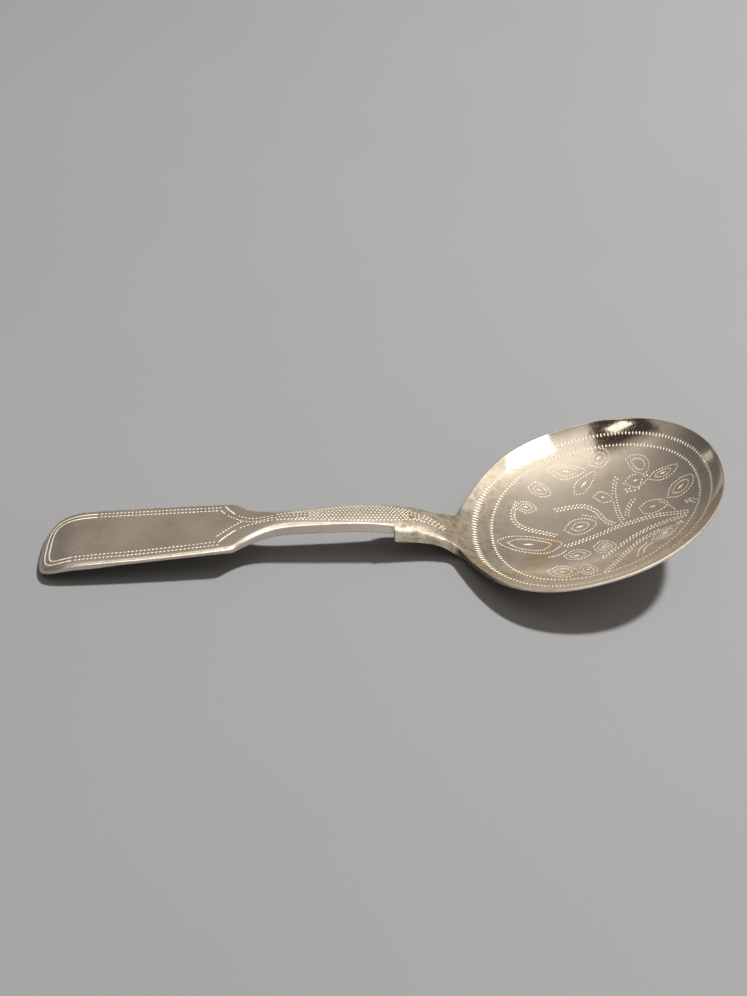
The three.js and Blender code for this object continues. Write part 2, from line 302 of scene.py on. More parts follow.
class Skin:
    # gathers points, their own normals and faces, each face with a finish
    def __init__(self):
        self.points = []
        self.normals = []
        self.faces = []
        self.finishes = []
        self.flat = []

    def point(self, place, normal=None):
        self.points.append(metres(place))
        self.normals.append(normal)
        return len(self.points) - 1

    def face(self, corners, finish=0, flat=False):
        kept = [c for i, c in enumerate(corners) if c != corners[i - 1]]
        if len(kept) > 2:
            self.faces.append(kept)
            self.finishes.append(finish)
            self.flat.append(flat)

    def strip(self, rowA, rowB, finish=0, flat=False):
        for i in range(len(rowA) - 1):
            self.face([rowA[i], rowA[i + 1], rowB[i + 1], rowB[i]], finish, flat)

    def edge(self, columns):
        # an edge's points, column by column, and the strips between its rows
        rows = [[] for _ in columns[0]]
        for i, column in enumerate(columns):
            before = columns[max(0, i - 1)]
            after = columns[min(len(columns) - 1, i + 1)]
            for j, (place, run) in enumerate(column):
                normal = run.cross(after[j][0] - before[j][0]).normalized()
                rows[j].append(self.point(place, tuple(normal)))
        for upper, lower in zip(rows, rows[1:]):
            self.strip(lower, upper)
        return rows

    def build(self, name, materials):
        mesh = bpy.data.meshes.new(name)
        mesh.from_pydata(self.points, [], self.faces)
        for material in materials:
            mesh.materials.append(material)
        mesh.polygons.foreach_set("material_index", self.finishes)
        mesh.polygons.foreach_set("use_smooth", [not flat for flat in self.flat])
        mesh.update()
        piece = bpy.data.objects.new(name, mesh)
        bpy.context.scene.collection.objects.link(piece)
        return piece

    def useNormals(self, piece):
        # polished faces take the true surface's normals, cut facets keep their own
        loops = []
        for polygon in piece.data.polygons:
            for vertex in polygon.vertices:
                own = self.normals[vertex]
                loops.append((0, 0, 0) if own is None or not polygon.use_smooth else own)
        piece.data.normals_split_custom_set(loops)


def surfaceNormal(surface, a, b, step=0.012):
    here = Vector(surface(a, b))
    first = Vector(surface(a + step, b)) - here
    second = Vector(surface(a, b + step)) - here
    return tuple(first.cross(second).normalized())


def putIn(grid, x, y, size, item):
    # a grid of square cells, each with a list of what lies in it
    grid.setdefault((round(x / size), round(y / size)), []).append(item)


def around(grid, x, y, size):
    # all that lies in a place's own cell and the eight round it
    column, row = round(x / size), round(y / size)
    return [item for i in (-1, 0, 1) for j in (-1, 0, 1) for item in grid.get((column + i, row + j), ())]


cutGap = 0.02  # the metal left between two cuts, in millimetres
cutCell = 0.5  # the cells of the grid that tells which metal is taken


class Cuts:
    # the graver's marks on one face, as plan outlines with a deeper ridge
    def __init__(self, seed):
        self.marks = []
        self.taken = {}
        self.random = random.Random(seed)

    def free(self, x, y, room):
        return not any(math.hypot(px - x, py - y) < room + other
                       for px, py, other in around(self.taken, x, y, cutCell))

    def take(self, x, y, room):
        putIn(self.taken, x, y, cutCell, (x, y, room))

    def mark(self, x, y, angle, length, width, depth):
        # one boat-shaped cut: two points, two shoulders, and a ridge nearer one side
        dx, dy = math.cos(angle), math.sin(angle)
        spots = [(x + dx * k * length, y + dy * k * length, width * (0.5 - abs(k) * 0.85) + cutGap)
                 for k in (-0.3, 0, 0.3)]
        if not all(self.free(*spot) for spot in spots):
            return
        for spot in spots:
            self.take(*spot)
        lean = self.random.uniform(-0.18, 0.18) * width
        heel = self.random.uniform(-0.08, 0.12) * length
        outline = [(-0.5, 0), (heel / length, -0.5), (0.5, 0), (heel / length, 0.5)]
        ring = [(x + dx * a * length - dy * b * width, y + dy * a * length + dx * b * width)
                for a, b in outline]
        deep = (x + dx * heel - dy * lean, y + dy * heel + dx * lean)
        self.marks.append((ring, [(deep, depth)]))

    def groove(self, path, width, depth):
        # one long continuous cut along a path
        left, right, ridge = [], [], []
        for i, (x, y) in enumerate(path):
            nx, ny = sideways(path, i)
            half = width / 2
            wobble = self.random.uniform(0.8, 1.1)
            if 0 < i < len(path) - 1:
                left.append((x - nx * half * wobble, y - ny * half * wobble))
                right.append((x + nx * half * wobble, y + ny * half * wobble))
                ridge.append(((x, y), depth * wobble))
            self.take(x, y, half + cutGap)
        ring = [path[0]] + right + [path[-1]] + left[::-1]
        self.marks.append((ring, ridge))


def fillSkin(skin, boundary, cuts, surface, spacing, inDomain):
    # fills a closed boundary with fine triangles on a surface, with every cut as real facets
    flatPoints = [Vector(p) for p, _ in boundary]
    depths = [0.0] * len(boundary)
    names = [index for _, index in boundary]
    edges = [(i, (i + 1) % len(boundary)) for i in range(len(boundary))]
    for ring, ridge in cuts.marks:
        start = len(flatPoints)
        flatPoints += [Vector(p) for p in ring]
        depths += [0.0] * len(ring)
        names += [None] * len(ring)
        edges += [(start + i, start + (i + 1) % len(ring)) for i in range(len(ring))]
        deep = len(flatPoints)
        flatPoints += [Vector(p) for p, _ in ridge]
        depths += [d for _, d in ridge]
        names += [None] * len(ridge)
        edges += [(deep + i, deep + i + 1) for i in range(len(ridge) - 1)]
    near = {}
    for p in flatPoints:
        putIn(near, p.x, p.y, spacing, p)

    # between them, a grid of equal triangles that keeps clear of the boundary and the cuts
    low = [min(p[k] for p in flatPoints) for k in (0, 1)]
    high = [max(p[k] for p in flatPoints) for k in (0, 1)]
    rowStep = spacing * 0.866
    clearOfCuts, clearOfPoints = spacing * 0.3, spacing * 0.45
    for r in range(int((high[1] - low[1]) / rowStep) + 1):
        for c in range(int((high[0] - low[0]) / spacing) + 1):
            x = low[0] + (c + 0.5 * (r % 2)) * spacing
            y = low[1] + r * rowStep
            if not inDomain(x, y) or not cuts.free(x, y, clearOfCuts):
                continue
            if all(math.hypot(p.x - x, p.y - y) >= clearOfPoints for p in around(near, x, y, spacing)):
                flatPoints.append(Vector((x, y)))
    depths += [0.0] * (len(flatPoints) - len(depths))
    names += [None] * (len(flatPoints) - len(names))
    made = delaunay_2d_cdt(flatPoints, edges, [], 1, 1e-5)
    places, triangles, sources = made[0], made[2], made[3]
    isCut = []
    indices = []
    for place, source in zip(places, sources):
        depth = max((depths[k] for k in source), default=0.0)
        known = [names[k] for k in source if names[k] is not None]
        isCut.append(depth > 0)
        if known:
            indices.append(known[0])
            continue
        normal = surfaceNormal(surface, place.x, place.y)
        base = surface(place.x, place.y)
        sunk = tuple(base[i] - normal[i] * depth for i in range(3))
        indices.append(skin.point(sunk, None if depth > 0 else normal))
    for triangle in triangles:
        carved = any(isCut[k] for k in triangle)
        skin.face([indices[k] for k in triangle], 1 if carved else 0, carved)
    print("  filled with", len(triangles), "triangles,", len(cuts.marks), "cuts")


def spread(path, spacing):
    # the same path with points a steady distance apart
    lengths = [0]
    for a, b in zip(path, path[1:]):
        lengths.append(lengths[-1] + math.hypot(b[0] - a[0], b[1] - a[1]))
    steps = max(1, round(lengths[-1] / spacing))
    made = []
    k = 0
    for i in range(steps + 1):
        want = lengths[-1] * i / steps
        while k < len(path) - 2 and lengths[k + 1] < want:
            k += 1
        share = clamp((want - lengths[k]) / max(1e-9, lengths[k + 1] - lengths[k]), 0, 1)
        made.append((mix(path[k][0], path[k + 1][0], share), mix(path[k][1], path[k + 1][1], share)))
    return made


def smoothPath(points, spacing):
    # a curve through a few given points
    places = [0]
    for a, b in zip(points, points[1:]):
        places.append(places[-1] + math.hypot(b[0] - a[0], b[1] - a[1]))
    alongX = curveThrough(list(zip(places, (p[0] for p in points))))
    alongY = curveThrough(list(zip(places, (p[1] for p in points))))
    samples = 200
    dense = [places[-1] * i / samples for i in range(samples + 1)]
    return spread([(alongX(d), alongY(d)) for d in dense], spacing)


def sideways(path, i):
    # the unit direction to the right of a path, which is outwards on one that runs left-handed
    ax, ay = path[max(0, i - 1)]
    bx, by = path[min(len(path) - 1, i + 1)]
    size = math.hypot(bx - ax, by - ay)
    return (by - ay) / size, (ax - bx) / size


def offsetPath(path, distance):
    made = []
    for i, (x, y) in enumerate(path):
        nx, ny = sideways(path, i)
        made.append((x + nx * distance, y + ny * distance))
    return made


# The graver's strokes

# each kind of stroke in millimetres, with its slant to the path in radians and how much that wavers
strokes = {
    "oval": {"pitch": 0.5, "width": 0.27, "depth": 0.065, "slant": 0.12, "jitter": 0.1,
             "heelFrom": 11, "heelTo": 15, "heelShift": 0.12},
    "leaf": {"pitch": 0.4, "length": 0.36, "width": 0.18, "depth": 0.065, "slant": 0.55, "jitter": 0.12},
    "shading": {"pitch": 0.26, "length": 0.36, "width": 0.12, "depth": 0.035, "slant": 1.2, "jitter": 0.3},
    "vein": {"share": 0.55, "shortest": 0.6, "longest": 1.5, "width": 0.3, "depth": 0.09},
    "stem": {"pitch": 0.5, "gap": 0.44, "length": 0.46, "width": 0.22, "depth": 0.065, "slant": 0.75,
             "jitter": 0.15},
    "sprig": {"pitch": 0.42, "length": 0.4, "width": 0.2, "depth": 0.065, "slant": 0.2, "jitter": 0.12},
    "border": {"pitch": 0.52, "length": 0.42, "width": 0.23, "depth": 0.05, "slant": 0.12, "jitter": 0.06},
    "crossing": {"pitch": 0.5, "length": 0.4, "width": 0.2, "depth": 0.05, "slant": 0.1, "jitter": 0.06},
    "band": {"pitch": 0.48, "length": 0.42, "width": 0.2, "depth": 0.05, "slant": 0.75, "jitter": 0.15},
}


def beadRow(cuts, path, kind):
    # single strokes along a path, each turned by the same angle to it
    look = strokes[kind]
    spots = spread(path, look["pitch"])
    for i, (x, y) in enumerate(spots):
        nx, ny = sideways(spots, i)
        angle = math.atan2(nx, -ny) + look["slant"] + cuts.random.uniform(-look["jitter"], look["jitter"])
        length = look["length"] * cuts.random.uniform(0.82, 1.12)
        cuts.mark(x, y, angle, length, look["width"] * cuts.random.uniform(0.85, 1.1), look["depth"])


def ropeRow(cuts, path, kind):
    # wriggle work: the graver rocks from side to side and leaves two rows of slanted strokes
    look = strokes[kind]
    spots = spread(path, look["pitch"] / 2)
    for i, (x, y) in enumerate(spots):
        nx, ny = sideways(spots, i)
        side = 1 if i % 2 else -1
        angle = math.atan2(nx, -ny) + look["slant"] + cuts.random.uniform(-look["jitter"], look["jitter"])
        px, py = x + nx * side * look["gap"] / 2, y + ny * side * look["gap"] / 2
        length = look["length"] * cuts.random.uniform(0.85, 1.1)
        cuts.mark(px, py, angle, length, look["width"], look["depth"])


def middleOf(path):
    return sum(p[0] for p in path) / len(path), sum(p[1] for p in path) / len(path)


def scaled(path, share):
    # the same outline drawn smaller round its middle
    x, y = middleOf(path)
    return [(mix(x, p[0], share), mix(y, p[1], share)) for p in path]


def cutLeaf(cuts, points, veined, filled):
    # a leaf: an outline of single strokes, a long bright vein, and light shading strokes within
    edge = smoothPath(points + points[:1], 0.1)
    beadRow(cuts, edge, "leaf")
    if veined:
        look = strokes["vein"]
        x, y = middleOf(points)
        far = max(points, key=lambda p: math.hypot(p[0] - x, p[1] - y))
        reach = math.hypot(far[0] - x, far[1] - y)
        length = clamp(look["share"] * reach, look["shortest"], look["longest"])
        cuts.mark(x, y, math.atan2(far[1] - y, far[0] - x), length, look["width"], look["depth"])
    for share in filled:
        beadRow(cuts, scaled(edge, share), "shading")


# Where the spray lies in the bowl, in millimetres from the middle of its rim
spray = {
    "stems": [
        [(12.4, -4.4), (8.2, -1.8), (3.8, -1.0), (-0.3, -1.6), (-4.0, -2.3)],
        [(12.0, -4.9), (8.7, -3.9), (5.2, -4.1), (2.6, -5.4), (0.4, -6.8)],
        [(11.3, -5.9), (7.9, -5.3), (4.9, -6.1), (2.5, -8.6), (0.2, -11.6)],
        [(4.0, -0.3), (3.7, 2.2), (3.8, 5.1), (4.2, 6.6), (4.7, 7.5)],
        [(4.6, 0.2), (5.1, 1.7), (6.1, 3.0)],
        [(3.0, -0.4), (1.9, 0.8), (1.0, 3.0), (-0.4, 4.5), (-1.9, 4.9), (-4.4, 4.9)],
        [(-9.0, 7.1), (-9.9, 5.4), (-10.0, 4.0), (-9.3, 2.7), (-7.9, 1.8), (-6.5, 1.1), (-4.9, 0.2)],
        [(8.5, 6.0), (7.2, 4.6), (5.4, 4.9)],
        [(12.4, -2.2), (13.2, -2.5), (13.7, -3.6)],
    ],
    "leaves": [  # outline, with a vein, and how far in its shading strokes lie
        ([(-4.3, 11.5), (-2.7, 11.9), (-0.1, 10.9), (0.8, 10.1), (-0.6, 9.6), (-2.6, 9.7)], True, [0.62]),
        ([(-7.2, 9.3), (-6.1, 9.9), (-4.9, 9.1), (-4.5, 7.7), (-5.7, 7.5), (-6.9, 8.3)], True, [0.6]),
        ([(-9.5, 6.2), (-8.7, 7.0), (-7.5, 6.8), (-6.8, 5.6), (-8.2, 5.1)], True, [0.6]),
        ([(-1.4, 6.9), (-1.0, 8.4), (0.3, 9.2), (2.1, 9.5), (1.1, 7.8), (-0.2, 6.7)], True, []),
        ([(1.6, 10.7), (1.9, 11.9), (3.0, 12.5), (4.3, 11.9), (4.3, 10.6), (3.0, 9.8)], True, [0.6]),
        ([(6.5, 9.6), (7.4, 9.8), (8.9, 8.9), (9.3, 7.3), (8.5, 6.3), (7.1, 7.5)], False, [0.6]),
        ([(8.6, 5.2), (9.7, 5.8), (11.4, 5.6), (12.8, 4.9), (11.9, 4.0), (10.2, 4.0)], True, [0.55]),
        ([(5.4, 6.2), (6.6, 6.9), (8.0, 6.3), (8.4, 5.2), (7.0, 4.7)], True, []),
        ([(10.4, 0.4), (11.2, 2.0), (12.7, 2.5), (14.2, 1.8), (13.8, 0.2), (12.0, -0.5)], True, [0.6]),
        ([(6.5, 1.0), (7.8, 1.5), (9.5, 0.7), (10.2, -0.7), (8.7, -1.2), (7.0, -0.5)], True, []),
        ([(1.0, 5.7), (1.9, 6.2), (3.0, 5.4), (3.3, 4.2), (2.1, 4.3)], True, []),
        ([(-3.8, 1.1), (-2.6, 2.4), (-0.8, 2.4), (0.6, 1.1), (-0.6, -0.1), (-2.4, -0.3)], True, [0.55]),
        ([(-12.8, -0.1), (-11.0, 0.8), (-8.8, 0.7), (-6.6, -0.1), (-4.4, -1.5), (-6.2, -3.1), (-8.6, -2.8),
          (-11.2, -1.6)], True, [0.66]),
        ([(-0.4, -3.7), (0.6, -2.9), (1.9, -3.7), (2.4, -5.1), (1.1, -6.0), (-0.2, -4.9)], True,
         [0.65, 0.35]),
        ([(-4.4, -4.4), (-2.7, -3.5), (-0.9, -5.0), (-2.3, -5.9), (-3.8, -5.4)], True, [0.6]),
        ([(-6.8, -7.6), (-5.2, -6.8), (-3.5, -7.9), (-2.9, -9.4), (-4.6, -10.1), (-6.1, -9.1)], True, [0.6]),
        ([(-2.9, -8.6), (-1.9, -7.7), (-0.8, -8.8), (-0.5, -10.3), (-1.9, -10.6)], True, [0.6]),
        ([(7.0, -6.8), (8.0, -5.4), (10.0, -5.7), (10.4, -6.7), (8.8, -7.6)], True, [0.65, 0.35]),
    ],
    "sprigs": [[(4.8, -9.3), (5.2, -7.9), (6.2, -6.9)], [(5.6, -9.2), (5.9, -8.1), (6.9, -7.5)],
               [(-6.3, -4.2), (-5.0, -4.0), (-4.1, -3.3)], [(1.9, 0.6), (0.5, 2.2), (-0.9, 3.1)],
               [(10.9, -2.6), (10.2, -0.9), (9.3, 0.4)]],
}

# the two borders: half length and width, middle, how much fuller towards the heel, and the strokes' length
ovals = [
    {"long": 15.75, "wide": 14.05, "u": 0.6, "v": 0.35, "egg": 0.04, "stroke": 0.52, "heelLonger": 0.7},
    {"long": 13.95, "wide": 12.25, "u": 0.85, "v": 0.7, "egg": 0.06, "stroke": 0.46, "heelLonger": 0},
]


def ovalPath(oval):
    power = 2 / 2.12  # a little fuller than an ellipse
    path = []
    samples = 720
    for i in range(samples + 1):
        a = 2 * math.pi * i / samples
        x = math.copysign(abs(math.cos(a)) ** power, math.cos(a))
        y = math.copysign(abs(math.sin(a)) ** power, math.sin(a))
        path.append((oval["u"] + oval["long"] * x, oval["v"] + oval["wide"] * y * (1 - oval["egg"] * x)))
    return path


def bowlCuts():
    cuts = Cuts(seed=7)
    look = strokes["oval"]
    for oval in ovals:
        spots = spread(ovalPath(oval), look["pitch"])
        for i, (x, y) in enumerate(spots[:-1]):
            nx, ny = sideways(spots, i)
            heel = smooth(-x, look["heelFrom"], look["heelTo"]) if oval["heelLonger"] else 0
            angle = math.atan2(ny, nx) + look["slant"] + cuts.random.uniform(-look["jitter"], look["jitter"])
            length = oval["stroke"] * cuts.random.uniform(0.85, 1.1) * (1 + oval["heelLonger"] * heel)
            cuts.mark(x + nx * look["heelShift"] * heel, y, angle, length, look["width"], look["depth"])
    for points, veined, filled in spray["leaves"]:
        cutLeaf(cuts, points, veined, filled)
    for stem in spray["stems"]:
        ropeRow(cuts, smoothPath(stem, 0.2), "stem")
    for sprig in spray["sprigs"]:
        beadRow(cuts, smoothPath(sprig, 0.2), "sprig")
    return cuts


# The handle's border, its crossing lines and the band along the stem, in millimetres
border = {
    "insets": [0.92, 1.56], "ends": [24.2, 23.7],
    "solidNear": 5.2, "solidFar": 7.6,  # at the end the strokes run together into a line
    "lineWidth": 0.2125, "crossingWidth": 0.204, "lineStep": 0.3,
    "crossing": [  # listed lines, and the place up to which each is one long cut
        ([(24.5, 4.1), (25.2, 3.1), (26.1, 2.05), (27.3, 1.15), (28.8, 0.55), (31, 0.42)], 26.2),
        ([(24.0, 3.3), (24.9, 2.15), (26.2, 1.1), (27.4, 0.35), (28.8, -0.1), (30.5, -0.05)], 24.8),
        ([(23.9, -2.0), (25.5, -0.6), (26.5, 0.12), (27.3, 0.55)], 23.8),
        ([(24.0, -3.4), (24.9, -2.4), (26.3, -1.15), (27.4, -0.62), (28.9, -0.46), (31, -0.45)], 26.4),
    ],
    "bandWidth": [(31, 0.45), (37.8, 1.05), (43, 1.42), (47, 1.2), (50.5, 0.66), (54, 0.28)],
    "bandMiddle": [(31, 0), (46, -0.05), (50, -0.12), (54, -0.55)],
    "bandEnd": 53.7, "bandWaver": 0.04,
    "bandRoom": 1.1, "bandRowRoom": 0.2,  # an inner row needs the band this wide, less this for each row out
}


def handleCuts(outline):
    # outline runs from the neck's far side round the end to the near side
    cuts = Cuts(seed=11)
    for inset, end in zip(border["insets"], border["ends"]):
        path = [p for p in offsetPath(outline, -inset) if p[0] < end]
        middle = min(range(len(path)), key=lambda i: path[i][0])
        far = [p for p in path[:middle] if p[0] > border["solidFar"]]
        near = [p for p in path[middle:] if p[0] > border["solidNear"]]
        solid = path[len(far):len(path) - len(near)]
        cuts.groove(spread(solid, border["lineStep"]), border["lineWidth"], strokes["border"]["depth"])
        beadRow(cuts, far[::-1], "border")
        beadRow(cuts, near, "border")
    for points, solidTo in border["crossing"]:
        path = smoothPath(points, 0.12)
        line = [p for p in path if p[0] < solidTo]
        if len(line) > 4:
            line = spread(line, border["lineStep"])
            cuts.groove(line, border["crossingWidth"], strokes["crossing"]["depth"])
        beadRow(cuts, [p for p in path if p[0] >= solidTo], "crossing")
    width = curveThrough(border["bandWidth"])
    middle = curveThrough(border["bandMiddle"])
    look = strokes["band"]
    waver = border["bandWaver"]
    for row in range(-3, 4):
        slant = look["slant"] if row % 2 else -look["slant"]
        s = border["bandWidth"][0][0] + (look["pitch"] / 2 if row % 2 else 0)
        while s < border["bandEnd"]:
            v = middle(s) + row / 3 * width(s) + cuts.random.uniform(-waver, waver)
            if row in (-3, 0, 3) or width(s) > border["bandRoom"] - border["bandRowRoom"] * abs(row):
                angle = slant + cuts.random.uniform(-look["jitter"], look["jitter"])
                cuts.mark(s, v, angle, look["length"], look["width"], look["depth"])
            s += look["pitch"]
    return cuts


# Edges: each column of points goes over the rounded top edge, down the side and under

edgeSteps = 5


def rounded(a, corner, b):
    # points that round a corner from a to b, each with the way the section runs there
    made = []
    for k in range(edgeSteps + 1):
        t = k / edgeSteps
        place = a * (1 - t) ** 2 + corner * (2 * t * (1 - t)) + b * t * t
        made.append((place, (corner - a) * (1 - t) + (b - corner) * t))
    return made


def edgeColumn(topIn, topCorner, backCorner, backIn, topRound, backRound, level=None):
    # one column, whose middle point lies at the height level if that is given
    wall = backCorner - topCorner
    down = topCorner + wall.normalized() * topRound
    up = backCorner - wall.normalized() * backRound
    middle = (down + up) / 2
    if level is not None:
        middle.z = level
    return rounded(topIn, topCorner, down) + [(middle, wall)] + rounded(up, backCorner, backIn)


def acrossRow(skin, place, corners, count, normal=None):
    # the points between two corner points of a row, place(share) giving each
    inner = [skin.point(place(k / count), normal(k / count) if normal else None) for k in range(1, count)]
    return [corners[0]] + inner + [corners[1]]


def inwards(s, nx, ny):
    # edges round straight across the spoon, and square to the outline only round its ends
    turn = smooth(s, handle["squareFrom"], handle["endRound"])
    way = Vector((mix(nx, 0, turn), ny))
    return way.normalized()


# The handle

def handleStations():
    past = shoulderAt + handle["shoulderRun"]
    seats = [  # from one place to another, and about how far apart
        (handle["endRound"], handle["terminal"], 0.4), (handle["terminal"], waistAt, 0.3),
        (waistAt, shoulderAt, 0.4), (shoulderAt, past, 0.03), (past, rebateAt, 0.25),
        (rebateAt, rebateAt + 0.01, 0.01), (rebateAt + 0.01, faceEndAt, 0.25),
    ]
    places = []
    for low, high, step in seats:
        steps = max(1, math.ceil((high - low) / step - 1e-6))
        places += [mix(low, high, (i + 1) / steps) for i in range(steps)]
    return places


def handleOutline():
    power = 2 / handle["endPower"]
    arc = []
    samples = 400
    for i in range(samples + 1):
        a = math.pi / 2 * i / samples
        s = handle["endRound"] * (1 - math.cos(a) ** power)
        arc.append((s, handle["endHalf"] * math.sin(a) ** power))
    side = spread(arc, 0.25) + [(s, handleHalf(s)) for s in handleStations()]
    return [(s, v) for s, v in side[::-1]] + [(s, -v) for s, v in side[1:]]


def handleBack(s):
    if s > rebateAt + 0.005:
        return lapHeight(s) + lap["solder"]
    return max(0, neckUnderside(s))


def handleColumns(outline):
    columns = []
    for i, (s, v) in enumerate(outline):
        nx, ny = sideways(outline, i)
        if i in (0, len(outline) - 1):
            nx, ny = 0, math.copysign(1, v)
        way = inwards(s, nx, ny)
        top, back = handleTop(s, v), handleBack(s)
        topRound = min(edgeWear(s), handle["topShare"] * (top - back))
        onNeck = smooth(s, shoulderAt - 0.4, shoulderAt + 0.8)
        backRound = mix(handle["backRound"], handle["neckBackRound"], onNeck)
        backRound = min(backRound, handle["backShare"] * (top - back))
        inTop, inBack = way * topRound, way * backRound
        topIn = Vector((s - inTop.x, v - inTop.y, handleTop(s - inTop.x, v - inTop.y)))
        backIn = Vector((s - inBack.x, v - inBack.y, handleBack(s - inBack.x)))
        columns.append(edgeColumn(
            topIn, Vector((s, v, top)), Vector((s, v, back)), backIn, topRound, backRound))
    return columns


def buildHandle():
    skin = Skin()
    outline = handleOutline()
    rows = skin.edge(handleColumns(outline))
    count = 10
    ends = (rows[0][-1], rows[0][0])
    first, second = (skin.points[corner][1] for corner in ends)

    def endPoint(t):
        v = mix(first, second, t) / mm
        return faceEndAt, v, handleTop(faceEndAt, v)

    topLine = acrossRow(skin, endPoint, ends, count)
    planned = []
    for k in rows[0] + topLine[1:-1]:
        x, y, _ = skin.points[k]
        planned.append(((x / mm + overallLength / 2, y / mm), k))

    def inside(s, v):
        clear = min(handleHalf(s), handleHalf(max(0, s - 0.3))) - edgeWear(s) - 0.1
        return edgeWear(0) + 0.1 < s < faceEndAt - 0.15 and abs(v) < clear

    def face(s, v):
        return s, v, handleTop(s, v)

    fillSkin(skin, planned, handleCuts(outline), face, handle["spacing"], inside)
    print("handle's face filled")

    backRows = []
    middle = len(outline) // 2
    for i in range(middle):
        far, near = rows[-1][i], rows[-1][len(outline) - 1 - i]
        a = skin.points[far]
        s = a[0] / mm + overallLength / 2
        slope = (handleBack(s + 0.02) - handleBack(s - 0.02)) / 0.04
        tilt = tuple(Vector((slope, 0, -1)).normalized()) if abs(slope) < 2 else None
        backRows.append(acrossRow(
            skin, lambda t: (s, mix(a[1], -a[1], t) / mm, a[2] / mm), (far, near), count, lambda t: tilt))
    backRows.append([rows[-1][middle]] * (count + 1))
    for one, two in zip(backRows, backRows[1:]):
        step = abs(skin.points[one[0]][2] - skin.points[two[0]][2]) > 0.3 * mm  # the rebate's flat shoulder
        skin.strip(one, two, 0, step)
    near = [row[-1] for row in rows]
    far = [row[0] for row in rows]
    skin.face(backRows[0][::-1] + far[::-1] + topLine[::-1] + near, 0, True)
    return skin


# The bowl, with its turned-up rim and the tang that goes under the neck

def insidePoint(u, v):
    point = Vector(bowlPoint(u, v, insideDepth(u, v)))
    point.z += neckFillet(point.x, v)
    return point


def backPoint(u, v):
    point = Vector(bowlPoint(u, v, insideDepth(u, v) + sheetAt(u, v)))
    share = smooth(point.x, neckEndAt, neckEndAt + bowl["heelBlend"])
    point.z = max(0, mix(neckUnderside(neckEndAt), point.z, share))
    return point


def onCut(surface, v):
    # the point of a surface at the cut through the neck's end
    u = -halfLength
    for _ in range(8):
        u -= (surface(u, v).x - neckEndAt) / cosTilt
    return u


def bowlOutline():
    # near side from the neck to the tip, then back along the far side
    power = bowl["ovalPower"]
    start = onCut(insidePoint, handle["neckEndHalf"])
    side = []
    samples = 500
    for i in range(samples):
        u = start * (1 - i / (samples - 1))
        along = bowlCentreAt + u * cosTilt
        oval = ovalHalf(u) * max(0, 1 - abs(u / halfLength) ** power) ** (1 / power)
        flare = neckWidth(along) if along < neckEndAt + 4 else 0
        soft = 0.35 * smooth(along, neckEndAt, neckEndAt + 0.5)
        soft *= 1 - smooth(along, neckEndAt + 1.5, neckEndAt + 4)
        side.append((u, (oval + flare + math.sqrt((oval - flare) ** 2 + soft ** 2)) / 2))
    for i in range(1, samples):
        a = math.pi / 2 * (1 - i / (samples - 1))
        u, v = max(0, math.cos(a)), max(0, math.sin(a))
        side.append((halfLength * u ** (2 / power), halfWidth * v ** (2 / power)))
    side = spread(side, 0.35)
    return [(u, -v) for u, v in side] + [(u, v) for u, v in side[::-1][1:]]


def bowlColumns(outline):
    columns, places = [], []
    last = len(outline) - 1
    for i, (u, v) in enumerate(outline):
        nx, ny = sideways(outline, i)
        end = i in (0, last)
        if end:
            nx, ny = 0, math.copysign(1, v)
        along = bowlCentreAt + u * cosTilt
        straight = 1 - smooth(along, neckEndAt, neckEndAt + 0.6)
        way = Vector((mix(nx, 0, straight), mix(ny, math.copysign(1, v), straight))).normalized()
        thick = (insidePoint(u, v) - backPoint(u, v)).length
        topRound = mix(bowl["neckRimRound"], bowl["rimRound"], smooth(along, neckEndAt, neckEndAt + 3))
        topRound = min(topRound, bowl["edgeShare"] * thick)
        backRound = min(bowl["rimRound"], bowl["edgeShare"] * thick)
        spots = []
        shifts = ((insidePoint, topRound), (insidePoint, 0), (backPoint, 0), (backPoint, backRound))
        for surface, shift in shifts:
            across = v - way.y * shift
            spots.append((onCut(surface, across) if end else u - way.x * shift, across))
        topIn, topCorner = (insidePoint(*spot) for spot in spots[:2])
        backCorner, backIn = (backPoint(*spot) for spot in spots[2:])
        columns.append(edgeColumn(topIn, topCorner, backCorner, backIn, topRound, backRound,
                                  lapHeight(neckEndAt) if end else None))
        places.append((spots[0], spots[3]))
    return columns, places


def tangSide(skin, sign, shared):
    # columns down one side of the tang, the last one shared with the bowl
    columns = []
    steps = 24
    for k in range(steps):
        s = mix(tangEndAt, neckEndAt, k / steps)
        v = sign * neckWidth(s)
        low = neckUnderside(s)
        rounding = mix(0.04, bowl["rimRound"], smooth(s, tangEndAt, neckEndAt))
        up, inner = Vector((s, v, low + rounding)), Vector((s, v - sign * rounding, low))
        column = [skin.point((s, v, lapHeight(s)), (0, sign, 0))]
        for place, run in rounded(up, Vector((s, v, low)), inner):
            normal = Vector((0, -run.z * sign, run.y * sign)).normalized()
            column.append(skin.point(place, tuple(normal)))
        columns.append(column)
    columns.append(shared)
    for a, b in zip(columns, columns[1:]):
        skin.strip(*((a, b) if sign < 0 else (b, a)))
    return columns


